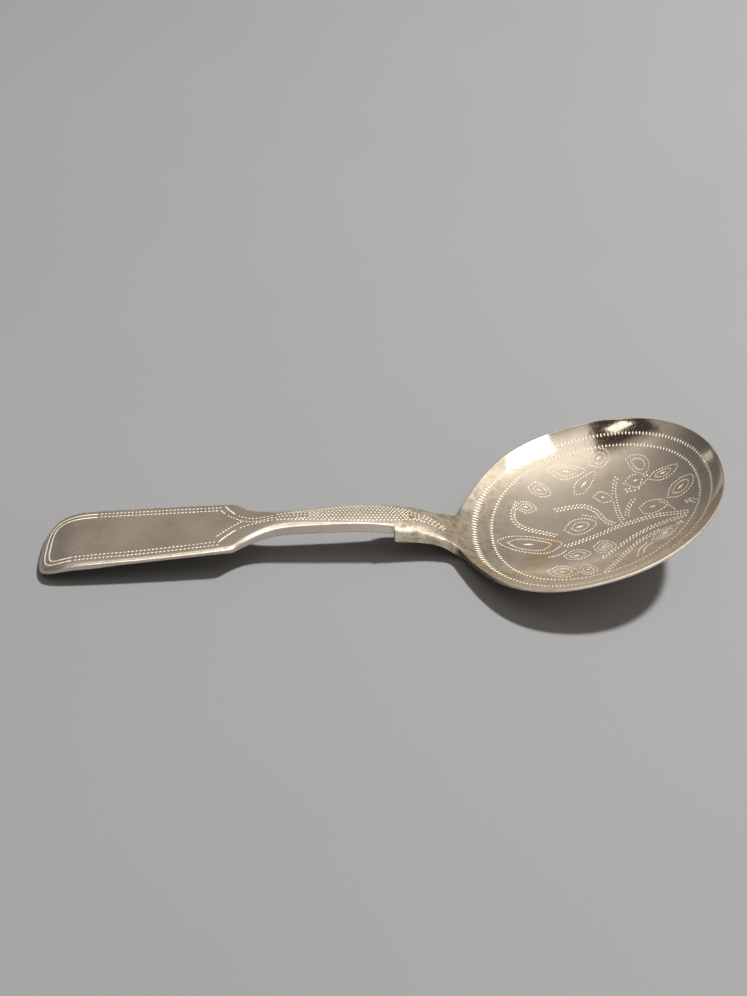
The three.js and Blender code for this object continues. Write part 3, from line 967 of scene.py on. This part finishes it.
def buildBowl():
    skin = Skin()
    outline = bowlOutline()
    columns, places = bowlColumns(outline)
    rows = skin.edge(columns)
    count = 12

    def cutLine(surface, ends, places):
        (_, first), (_, second) = places

        def cutPoint(t):
            v = mix(first, second, t)
            return surface(onCut(surface, v), v)

        return acrossRow(skin, cutPoint, ends, count)

    topLine = cutLine(insidePoint, (rows[0][-1], rows[0][0]), (places[-1][0], places[0][0]))
    backLine = cutLine(backPoint, (rows[-1][-1], rows[-1][0]), (places[-1][1], places[0][1]))
    planned = [(places[i][0], k) for i, k in enumerate(rows[0])]
    for j in range(1, count):
        v = mix(places[-1][0][1], places[0][0][1], j / count)
        planned.append(((onCut(insidePoint, v), v), topLine[j]))

    mouthHalf, mouthRun = 2.6, 2  # where the neck opens into the bowl

    def inside(u, v):
        mouth = abs(v) < mouthHalf and -halfLength + 0.05 < u < -halfLength + mouthRun
        return mouth or reachOf(u, v) < 0.982  # the rim's rounding takes the rest

    fillSkin(skin, planned, bowlCuts(), insidePoint, bowl["spacing"], inside)
    print("bowl's inside filled")

    # the back is rings drawn smaller and smaller round the middle
    loop = [underneath for _, underneath in places]
    for j in range(1, count):
        v = mix(places[-1][1][1], places[0][1][1], j / count)
        loop.append((onCut(backPoint, v), v))
    ring = rows[-1] + backLine[1:-1]
    rings = round(halfWidth / bowl["ringStep"])
    for k in range(1, rings):
        share = 1 - k / rings
        inner = []
        for u, v in loop:
            spot = (u * share, v * share)
            normal = -Vector(surfaceNormal(backPoint, *spot))
            inner.append(skin.point(backPoint(*spot), tuple(normal)))
        skin.strip(inner + inner[:1], ring + ring[:1])
        ring = inner
    centre = skin.point(backPoint(0, 0), (0, 0, -1))
    for i in range(len(ring)):
        skin.face([centre, ring[(i + 1) % len(ring)], ring[i]])

    # the tang, from the bowl's cut end back under the neck
    middle = edgeSteps + 1
    near = tangSide(skin, -1, [row[0] for row in rows[middle:]])
    far = tangSide(skin, 1, [row[-1] for row in rows[middle:]])

    def straightRow(ends):
        one, two = (Vector(skin.points[end]) / mm for end in ends)
        one.x += overallLength / 2
        two.x += overallLength / 2
        return acrossRow(skin, lambda t: one.lerp(two, t), ends, count)

    tops = [straightRow((a[0], b[0])) for a, b in zip(far, near)]
    unders = [straightRow((a[-1], b[-1])) for a, b in zip(far[:-1], near[:-1])] + [backLine]
    for a, b in zip(tops, tops[1:]):
        skin.strip(a, b)
    for a, b in zip(unders, unders[1:]):
        skin.strip(b, a)
    skin.face(unders[0] + near[0][::-1] + tops[0][::-1] + far[0], 0, True)
    nearColumn = [row[0] for row in rows[:middle + 1]]
    farColumn = [row[-1] for row in rows[:middle + 1]]
    skin.face(farColumn + tops[-1] + nearColumn[::-1] + topLine[::-1], 0, True)
    return skin


# The silver solder between the tang and the neck: one thin bent sheet

def buildSeam():
    skin = Skin()
    count = 14
    steps = 20
    edgeRound = 0.1

    def roundedTop(s, v, w):
        # the neck's own top, rounded over at the sides of the film
        over = max(0, abs(v) - (w - edgeRound))
        top = handleTop(s, math.copysign(min(abs(v), w - edgeRound), v))
        return top - (edgeRound - math.sqrt(max(0, edgeRound ** 2 - over * over)))

    def chain(t):
        # one section through the film, t of the way across the neck
        upper = [(rebateAt, neckUnderside(rebateAt)), (rebateAt, lapHeight(rebateAt) + lap["solder"])]
        lower = [(tangEndAt, neckUnderside(tangEndAt)), (tangEndAt, lapHeight(tangEndAt))]
        for k in range(1, steps + 1):
            s = mix(rebateAt, faceEndAt, k / steps)
            upper.append((s, lapHeight(s) + lap["solder"]))
            s = mix(tangEndAt, neckEndAt, k / steps)
            lower.append((s, lapHeight(s)))
        upper.append((faceEndAt, None))
        lower.append((neckEndAt, None))
        points = []
        for s, height in upper + lower[::-1]:
            w = neckWidth(s)
            v = -w * math.cos(math.pi * t)
            points.append(skin.point((s, v, roundedTop(s, v, w) if height is None else height)))
        return points

    chains = [chain(k / count) for k in range(count + 1)]
    for a, b in zip(chains, chains[1:]):
        skin.strip(a + a[:1], b + b[:1], 0, True)
    half = len(chains[0]) // 2
    first, last = chains[0], chains[-1]
    skin.strip(first[half:][::-1], first[:half], 0, True)
    skin.strip(last[:half], last[half:][::-1], 0, True)
    return skin


# Materials

def colour(code):
    # an sRGB hex colour as linear light
    parts = [int(code[i:i + 2], 16) / 255 for i in (0, 2, 4)]
    return tuple(c / 12.92 if c <= 0.04045 else ((c + 0.055) / 1.055) ** 2.4 for c in parts) + (1,)


def addNode(tree, kind, inputs=(), output=0, stops=(), **settings):
    # a node with its settings, a value or link for each input by name or in order, and a ramp's stops;
    # it gives back the output asked for, or the whole node if output is None
    made = tree.nodes.new("ShaderNode" + kind)
    for name, value in settings.items():
        setattr(made, name, value)
    for name, value in inputs.items() if isinstance(inputs, dict) else enumerate(inputs):
        if isinstance(value, bpy.types.NodeSocket):
            tree.links.new(value, made.inputs[name])
        else:
            made.inputs[name].default_value = value
    if stops:
        elements = made.color_ramp.elements
        while len(elements) < len(stops):
            elements.new(0.5)
        for element, (place, grey) in zip(elements, stops):
            element.position = place
            element.color = (grey, grey, grey, 1)
    return made if output is None else made.outputs[output]


def perMillimetre(size):
    # a texture's scale for marks of this size in millimetres
    return 1000 / size


def newMaterial(name):
    # an empty material, its tree, and the place on the spoon, which its patterns go by
    material = bpy.data.materials.new(name)
    material.use_nodes = True
    tree = material.node_tree
    tree.nodes.clear()
    return material, tree, addNode(tree, "TexCoord", output="Object")


def finishMaterial(tree, inputs):
    shader = addNode(tree, "BsdfPrincipled", inputs)
    addNode(tree, "OutputMaterial", {"Surface": shader}, None)


def layered(tree, code, layers):
    # a colour with others laid over it, each by its own share
    base = colour(code)
    for share, upper in layers:
        base = addNode(tree, "Mix", {0: share, 6: base, 7: colour(upper)}, 2, data_type="RGBA")
    return base


def streaks(tree, where, along, across, turn):
    # long fine rubbing marks: a stretched noise, seen only where it crosses its middle
    turned = addNode(tree, "Mapping", {
        "Vector": where, "Rotation": (0, 0, turn),
        "Scale": (perMillimetre(along), perMillimetre(across), perMillimetre(across))})
    noise = addNode(tree, "TexNoise", {"Vector": turned, "Scale": 1.0, "Detail": 2.0, "Roughness": 0.6})
    return addNode(tree, "ValToRGB", [noise], stops=[(0.47, 0.0), (0.5, 1.0), (0.53, 0.0)])


noiseRange = (0.3, 0.7)  # a noise seldom strays outside this
wornSilver = {
    "bright": "ece2d3",  # rubbed silver with its slight warm cast
    "solderStain": "a08e66",  # greenish gold left round the soldered neck
    "amber": "e8c08a",  # a few thicker spots of film turn amber
    "rubbedAndSheen": "f6ecdb",  # freshly rubbed metal, paler: a painted sheen on the bowl's near side
    "patterns": {  # patches of this size in millimetres, then how detailed and how ragged they are
        "cloud": (5.0, 5.0, 0.55), "mottle": (0.9, 3.0, 0.55), "blotch": (1.0, 5.0, 0.75),
        "wave": (3.4, 2.0, 0.55),
    },
    # rubbing marks' length and width in millimetres and turn in radians. Real ones are hundredths of a
    # millimetre wide, too fine to show, so they are drawn as coarse as this.
    "rubbing": [(26.0, 0.6, 0.12), (9.0, 0.35, 0.9)], "rubDepth": 0.004, "rubStrength": 0.25,
    "endFilm": 0.45, "endFilmRun": (-3, 20),  # extra film at the handle's end, fading out past the terminal
    "spotCore": 0.2, "spotStrength": 0.75,  # how much of an amber spot is full, and how strong it is there
    # the torch's stain, where it rises past the shoulders and fades past the neck's end, and where the
    # dulling that goes with it fades out in the bowl's heel
    "stainStrength": 0.8, "stainRough": 0.12, "stainRise": (-1, 1.2), "stainFall": (0.5, 11),
    "heelFall": (2, 8),
    "lipRubAndSheen": (-8.5, -13.5),  # across the bowl, where the near lip's rubbing and painted sheen start and are full
    "pit": "5b5040", "pitSpacing": 2.6, "pitEdge": (0.02, 0.05), "pitDark": 0.7,  # dirt in pinholes
}


def stretch(start, shifts):
    # two places along the spoon in the frame's X, each so many millimetres past the start
    return [(start + shift - overallLength / 2) * mm for shift in shifts]


def silverMaterial(look):
    material, tree, where = newMaterial(look["name"])
    axes = addNode(tree, "SeparateXYZ", [where], None).outputs
    pattern = {}
    for name, (size, detail, ragged) in {**wornSilver["patterns"], **look["ownPatterns"]}.items():
        pattern[name] = addNode(tree, "TexNoise", {
            "Vector": where, "Scale": perMillimetre(size), "Detail": detail, "Roughness": ragged})
    mottle = pattern["mottle"]

    # a film of tarnish gathers in clouds, and is thickest on the handle's turned-down end
    film = addNode(tree, "MapRange", [pattern["cloud"], 0.35, 0.7, 0.0, look["tarnish"]])
    run = stretch(handle["terminal"], wornSilver["endFilmRun"])
    endFilm = addNode(tree, "MapRange", [axes["X"], *run, wornSilver["endFilm"], 0.0])
    film = addNode(tree, "Math", [film, endFilm], operation="ADD")
    broken = addNode(tree, "MapRange", [mottle, *noiseRange, 0.6, 1.0])
    film = addNode(tree, "Math", [film, broken], operation="MULTIPLY")
    layers = [(film, look["dull"])]
    for (u, v), reach in look["amberSpots"]:
        away = addNode(tree, "VectorMath", [where, metres(insidePoint(u, v))], "Value", operation="DISTANCE")
        run = (wornSilver["spotCore"] * reach * mm, reach * mm)
        inner = addNode(tree, "MapRange", [away, *run, wornSilver["spotStrength"], 0.0])
        ragged = addNode(tree, "MapRange", [pattern["spot"], 0.4, 0.56, 0.15, 1.0])
        layers.append((addNode(tree, "Math", [inner, ragged], operation="MULTIPLY"), wornSilver["amber"]))

    # rubbing marks scatter the shine a little
    rubs = [streaks(tree, where, *mark) for mark in wornSilver["rubbing"]]
    marks = addNode(tree, "Math", rubs, operation="MAXIMUM")
    rough = addNode(tree, "MapRange", [mottle, *noiseRange, *look["roughness"]])
    rough = addNode(tree, "Math", [marks, look["scratched"], rough], operation="MULTIPLY_ADD")

    # the torch leaves the neck blotched and the bowl's heel duller, fading into the bowl
    rise = addNode(tree, "MapRange", [axes["X"], *stretch(shoulderAt, wornSilver["stainRise"]), 0.0, 1.0])
    fall = addNode(tree, "MapRange", [axes["X"], *stretch(neckEndAt, wornSilver["stainFall"]), 1.0, 0.0])
    blotch = addNode(tree, "MapRange", [pattern["blotch"], 0.44, 0.62, 0.0, wornSilver["stainStrength"]])
    stain = addNode(tree, "Math", [rise, fall], operation="MULTIPLY")
    stain = addNode(tree, "Math", [stain, blotch], operation="MULTIPLY")
    layers.append((stain, wornSilver["solderStain"]))
    rough = addNode(tree, "Math", [stain, wornSilver["stainRough"], rough], operation="MULTIPLY_ADD")
    run = stretch(neckEndAt, wornSilver["heelFall"])
    heated = addNode(tree, "MapRange", [axes["X"], *run, look["heated"], 0.0])
    heated = addNode(tree, "Math", [rise, heated], operation="MULTIPLY")
    uneven = addNode(tree, "MapRange", [mottle, *noiseRange, 0.7, 1.3])
    rough = addNode(tree, "Math", [heated, uneven, rough], operation="MULTIPLY_ADD")

    if look["rubbedLipAndSheen"]:
        # the near side of the bowl is rubbed satin against the caddy's wall, and its colour is painted paler
        # there as a painted sheen
        run = [place * mm for place in wornSilver["lipRubAndSheen"]]
        rubbedAndSheen = addNode(tree, "MapRange", [axes["Y"], *run, 0.0, 1.0])
        uneven = addNode(tree, "MapRange", [mottle, *noiseRange, 0.7, 1.1])
        rubbedAndSheen = addNode(tree, "Math", [rubbedAndSheen, uneven], operation="MULTIPLY")
        rough = addNode(tree, "Math", [rubbedAndSheen, look["rubbedLipAndSheen"], rough], operation="MULTIPLY_ADD")
        # painted sheen: the near side's colour is mixed towards a paler silver
        layers.append((rubbedAndSheen, wornSilver["rubbedAndSheen"]))

    specks = addNode(tree, "TexVoronoi", {
        "Vector": where, "Scale": perMillimetre(wornSilver["pitSpacing"])}, "Distance")
    pit = addNode(tree, "MapRange", [specks, *wornSilver["pitEdge"], wornSilver["pitDark"], 0.0])
    layers.append((pit, wornSilver["pit"]))

    wave = addNode(tree, "Bump", {
        "Height": pattern["wave"], "Distance": look["unevenness"] * mm, "Strength": 1.0})
    relief = addNode(tree, "Bump", {
        "Height": marks, "Distance": wornSilver["rubDepth"] * mm, "Strength": wornSilver["rubStrength"],
        "Normal": wave})
    finishMaterial(tree, {
        "Base Color": layered(tree, wornSilver["bright"], layers), "Metallic": 1.0, "Roughness": rough,
        "Normal": relief})
    return material


# Raised and burnished by hand: reflections stay clear but wander, with a soft film of wear
bowlFinish = {
    "name": "raised_and_burnished_silver",
    "dull": "c4b29a",  # the film is warm in the bowl
    "roughness": (0.04, 0.09), "tarnish": 0.5, "scratched": 0.05, "unevenness": 0.025, "heated": 0.2,
    "amberSpots": [((-6.0, -1.4), 2.3), ((-8.0, -4.4), 2.6), ((-9.2, -6.8), 2.2)],  # middle and reach
    # the near side's added roughness, which also turns on its painted sheen
    "ownPatterns": {"spot": (1.3, 3.0, 0.6)}, "rubbedLipAndSheen": 0.42,
}

# Filed, stoned and rubbed by years of use: a satin face that blurs what it mirrors
handleFinish = {
    "name": "stoned_and_handled_silver",
    "dull": "bcafa2",  # and greyer on the handle
    "roughness": (0.25, 0.34), "tarnish": 0.5, "scratched": 0.08, "unevenness": 0.02, "heated": 0.16,
    "amberSpots": [], "ownPatterns": {}, "rubbedLipAndSheen": 0,
}

# Cut by a polished graver: each facet flashes, and the corners hold a little dark film. Its torn grains
# are far too fine to show, so they are drawn 0.7 mm across, and they scatter part of the light.
cutFinish = {
    "name": "bright_cut_silver", "light": "fbf1e0", "dark": "dccbb0", "darkest": 0.35, "grain": 0.7,
    "detail": 3.0, "grainRange": (0.35, 0.7), "roughness": (0.55, 0.68), "metallic": 0.66, "relief": 0,
}

# Hard solder is paler and greyer than the sheet, and dries a little rough and blotched
solderFinish = {
    "name": "hard_silver_solder", "light": "d8cfbd", "dark": "b5aa95", "darkest": 1.0, "grain": 0.5,
    "detail": 4.0, "grainRange": (0.35, 0.65), "roughness": (0.4, 0.6), "metallic": 1.0, "relief": 0.03,
}


def grainedMetal(look):
    # a metal whose colour and roughness both follow one fine grain
    material, tree, where = newMaterial(look["name"])
    grain = addNode(tree, "TexNoise", {
        "Vector": where, "Scale": perMillimetre(look["grain"]), "Detail": look["detail"]})
    shade = addNode(tree, "MapRange", [grain, *look["grainRange"], 0.0, look["darkest"]])
    inputs = {
        "Base Color": layered(tree, look["light"], [(shade, look["dark"])]), "Metallic": look["metallic"],
        "Roughness": addNode(tree, "MapRange", [grain, *noiseRange, *look["roughness"]]),
    }
    if look["relief"]:
        inputs["Normal"] = addNode(tree, "Bump", {
            "Height": grain, "Distance": look["relief"] * mm, "Strength": 1.0})
    finishMaterial(tree, inputs)
    return material


handleSilver, bowlSilver = silverMaterial(handleFinish), silverMaterial(bowlFinish)
brightCut, solder = grainedMetal(cutFinish), grainedMetal(solderFinish)
print("materials made")


# Each piece is built, given its own normals and set on the frame in place of its solid

for name, makeSkin, node, slotName, finishes in (
        ("handle_visual", buildHandle, "handle", "handle_silver", [handleSilver, brightCut]),
        ("bowl_visual", buildBowl, "bowl", "bowl_silver", [bowlSilver, brightCut]),
        ("solder_seam_visual", buildSeam, "solder_seam", "silver_solder", [solder])):
    skin = makeSkin()
    piece = skin.build(name, finishes)
    skin.useNormals(piece)
    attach(piece, "root")
    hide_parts(node)
    print(name, "built")


# Floor, light and camera

# Matt pale paper: no gloss, only the faintest cloudiness in its pulp
floorPaper = {
    "name": "matt_pale_paper", "dark": "6e6e6e", "light": "717171", "clouds": 60, "roughness": 0.9,
    "shine": 0.2, "reach": 1.5,
}


def paperMaterial(look):
    material, tree, where = newMaterial(look["name"])
    clouds = addNode(tree, "TexNoise", {
        "Vector": where, "Scale": perMillimetre(look["clouds"]), "Detail": 2.0})
    finishMaterial(tree, {
        "Base Color": layered(tree, look["dark"], [(clouds, look["light"])]),
        "Roughness": look["roughness"], "Specular IOR Level": look["shine"]})
    return material


reach = floorPaper["reach"]
floorMesh = bpy.data.meshes.new("floor")
floorMesh.from_pydata([(-reach, -reach, 0), (reach, -reach, 0), (reach, reach, 0), (-reach, reach, 0)], [],
                      [(0, 1, 2, 3)])
floorMesh.materials.append(paperMaterial(floorPaper))
floor = bpy.data.objects.new("floor", floorMesh)
bpy.context.scene.collection.objects.link(floor)

# a broad panel overhead and in front, a small key from the right, a low strip in front, and a small lamp
# and a window far on the left
lightDistance = 0.8
lights = {
    "panel": {"towards": (0.13, -0.42, 0.9), "size": (0.42, 0.66), "watts": 1.5, "shade": "fffefc"},
    "key": {"towards": (0.507, 0.169, 0.845), "size": (0.06, 0.06), "watts": 15.3, "shade": "fdfeff"},
    "strip": {"towards": (0.25, -0.92, 0.3), "size": (1.1, 0.46), "watts": 4.6, "shade": "fffefc"},
    "lamp": {"towards": (-0.6, -0.24, 0.76), "size": (0.11, 0.16), "watts": 0.1, "shade": "fff1ee"},
    "window": {"towards": (-0.71, 0.68, 0.2), "size": (0.07, 0.13), "watts": 0.013, "shade": "fffefc"},
}
for name, light in lights.items():
    data = bpy.data.lights.new(name, "AREA")
    data.shape = "RECTANGLE"
    data.size, data.size_y = light["size"]
    data.energy = light["watts"]
    data.color = colour(light["shade"])[:3]
    lamp = bpy.data.objects.new(name, data)
    way = Vector(light["towards"]).normalized()
    lamp.location = way * lightDistance
    lamp.rotation_euler = way.to_track_quat("Z", "Y").to_euler()
    # the key draws the floor and its shadow, and the others are what the silver mirrors
    lamp.visible_glossy = name != "key"
    lamp.visible_diffuse = name == "key"
    bpy.context.scene.collection.objects.link(lamp)

# The room that the silver mirrors is a warm white overhead that dims towards the far wall and the left,
# with a dark screen on the left. Each list is how light it is at places from -1 to 1 along a direction.
roomLight = {
    "beyond": [
        (-1.0, 0.1), (-0.6, 0.25), (-0.42, 0.55), (-0.3, 0.76), (0.04, 0.92), (0.12, 0.78), (0.2, 0.64),
        (0.32, 0.47), (0.45, 0.41), (0.57, 0.36), (0.69, 0.33), (0.79, 0.3), (0.9, 0.28), (0.96, 0.32),
        (1.0, 0.68)],
    "sides": [
        (-1.0, 0.36), (-0.85, 0.39), (-0.7, 0.5), (-0.6, 0.63), (-0.5, 0.76), (-0.35, 0.87), (0.0, 0.95),
        (0.5, 1.0)],
    "screenSides": [(-0.85, 0.0), (-0.81, 1.0), (-0.46, 1.0), (-0.43, 0.0)],
    "screenEnd": [(-0.6, 1.0), (0.0, 1.0), (0.14, 0.0)],
    "lowLeftLean": 0.8, "lowLeftRange": (-0.4, 0.15), "lowLeftDim": 0.6,
    "white": "fff8f0", "screen": "37322e", "strength": 1.4,
}
world = bpy.data.worlds.new("room")
bpy.context.scene.world = world
world.use_nodes = True
room = world.node_tree
room.nodes.clear()
facing = addNode(room, "SeparateXYZ", [addNode(room, "TexCoord", output="Generated")], None).outputs


def roomRamp(axis, stops):
    share = addNode(room, "MapRange", [facing[axis], -1.0, 1.0, 0.0, 1.0])
    return addNode(room, "ValToRGB", [share], stops=[((1 + place) / 2, grey) for place, grey in stops])


beyond, sides = roomRamp("Y", roomLight["beyond"]), roomRamp("X", roomLight["sides"])
lowLeft = addNode(room, "Math", [facing["X"], roomLight["lowLeftLean"], facing["Z"]],
                  operation="MULTIPLY_ADD")
lowLeft = addNode(room, "MapRange", [lowLeft, *roomLight["lowLeftRange"], roomLight["lowLeftDim"], 1.0])
shades = addNode(room, "Math", [beyond, sides], operation="MULTIPLY")
shades = addNode(room, "Math", [shades, lowLeft], operation="MULTIPLY")
screenSides, screenEnd = roomRamp("X", roomLight["screenSides"]), roomRamp("Y", roomLight["screenEnd"])
screen = addNode(room, "Math", [screenSides, screenEnd], operation="MULTIPLY")
seen = layered(room, "000000", [(shades, roomLight["white"]), (screen, roomLight["screen"])])
back = addNode(room, "Background", {"Color": seen, "Strength": roomLight["strength"]})
addNode(room, "OutputWorld", {"Surface": back}, None)

view = {
    "aim": (-0.093, 10.463, 0),  # the point on the floor that the camera looks at
    "distance": 196.64, "elevation": 38.519, "heading": -0.553, "roll": -1.301, "lens": 51.15,
}
bpy.context.scene.view_settings.view_transform = "Standard"
cameraData = bpy.data.cameras.new("camera")
cameraData.lens = view["lens"]
cameraData.clip_start = 0.01
camera = bpy.data.objects.new("camera", cameraData)
bpy.context.scene.collection.objects.link(camera)
camera.matrix_world = (
    Matrix.Translation(Vector(view["aim"]) * mm)
    @ Matrix.Rotation(math.radians(view["heading"]), 4, "Z")
    @ Matrix.Rotation(math.radians(90 - view["elevation"]), 4, "X")
    @ Matrix.Rotation(math.radians(view["roll"]), 4, "Z")
    @ Matrix.Translation((0, 0, view["distance"] * mm)))
bpy.context.scene.camera = camera
print("light and camera set")
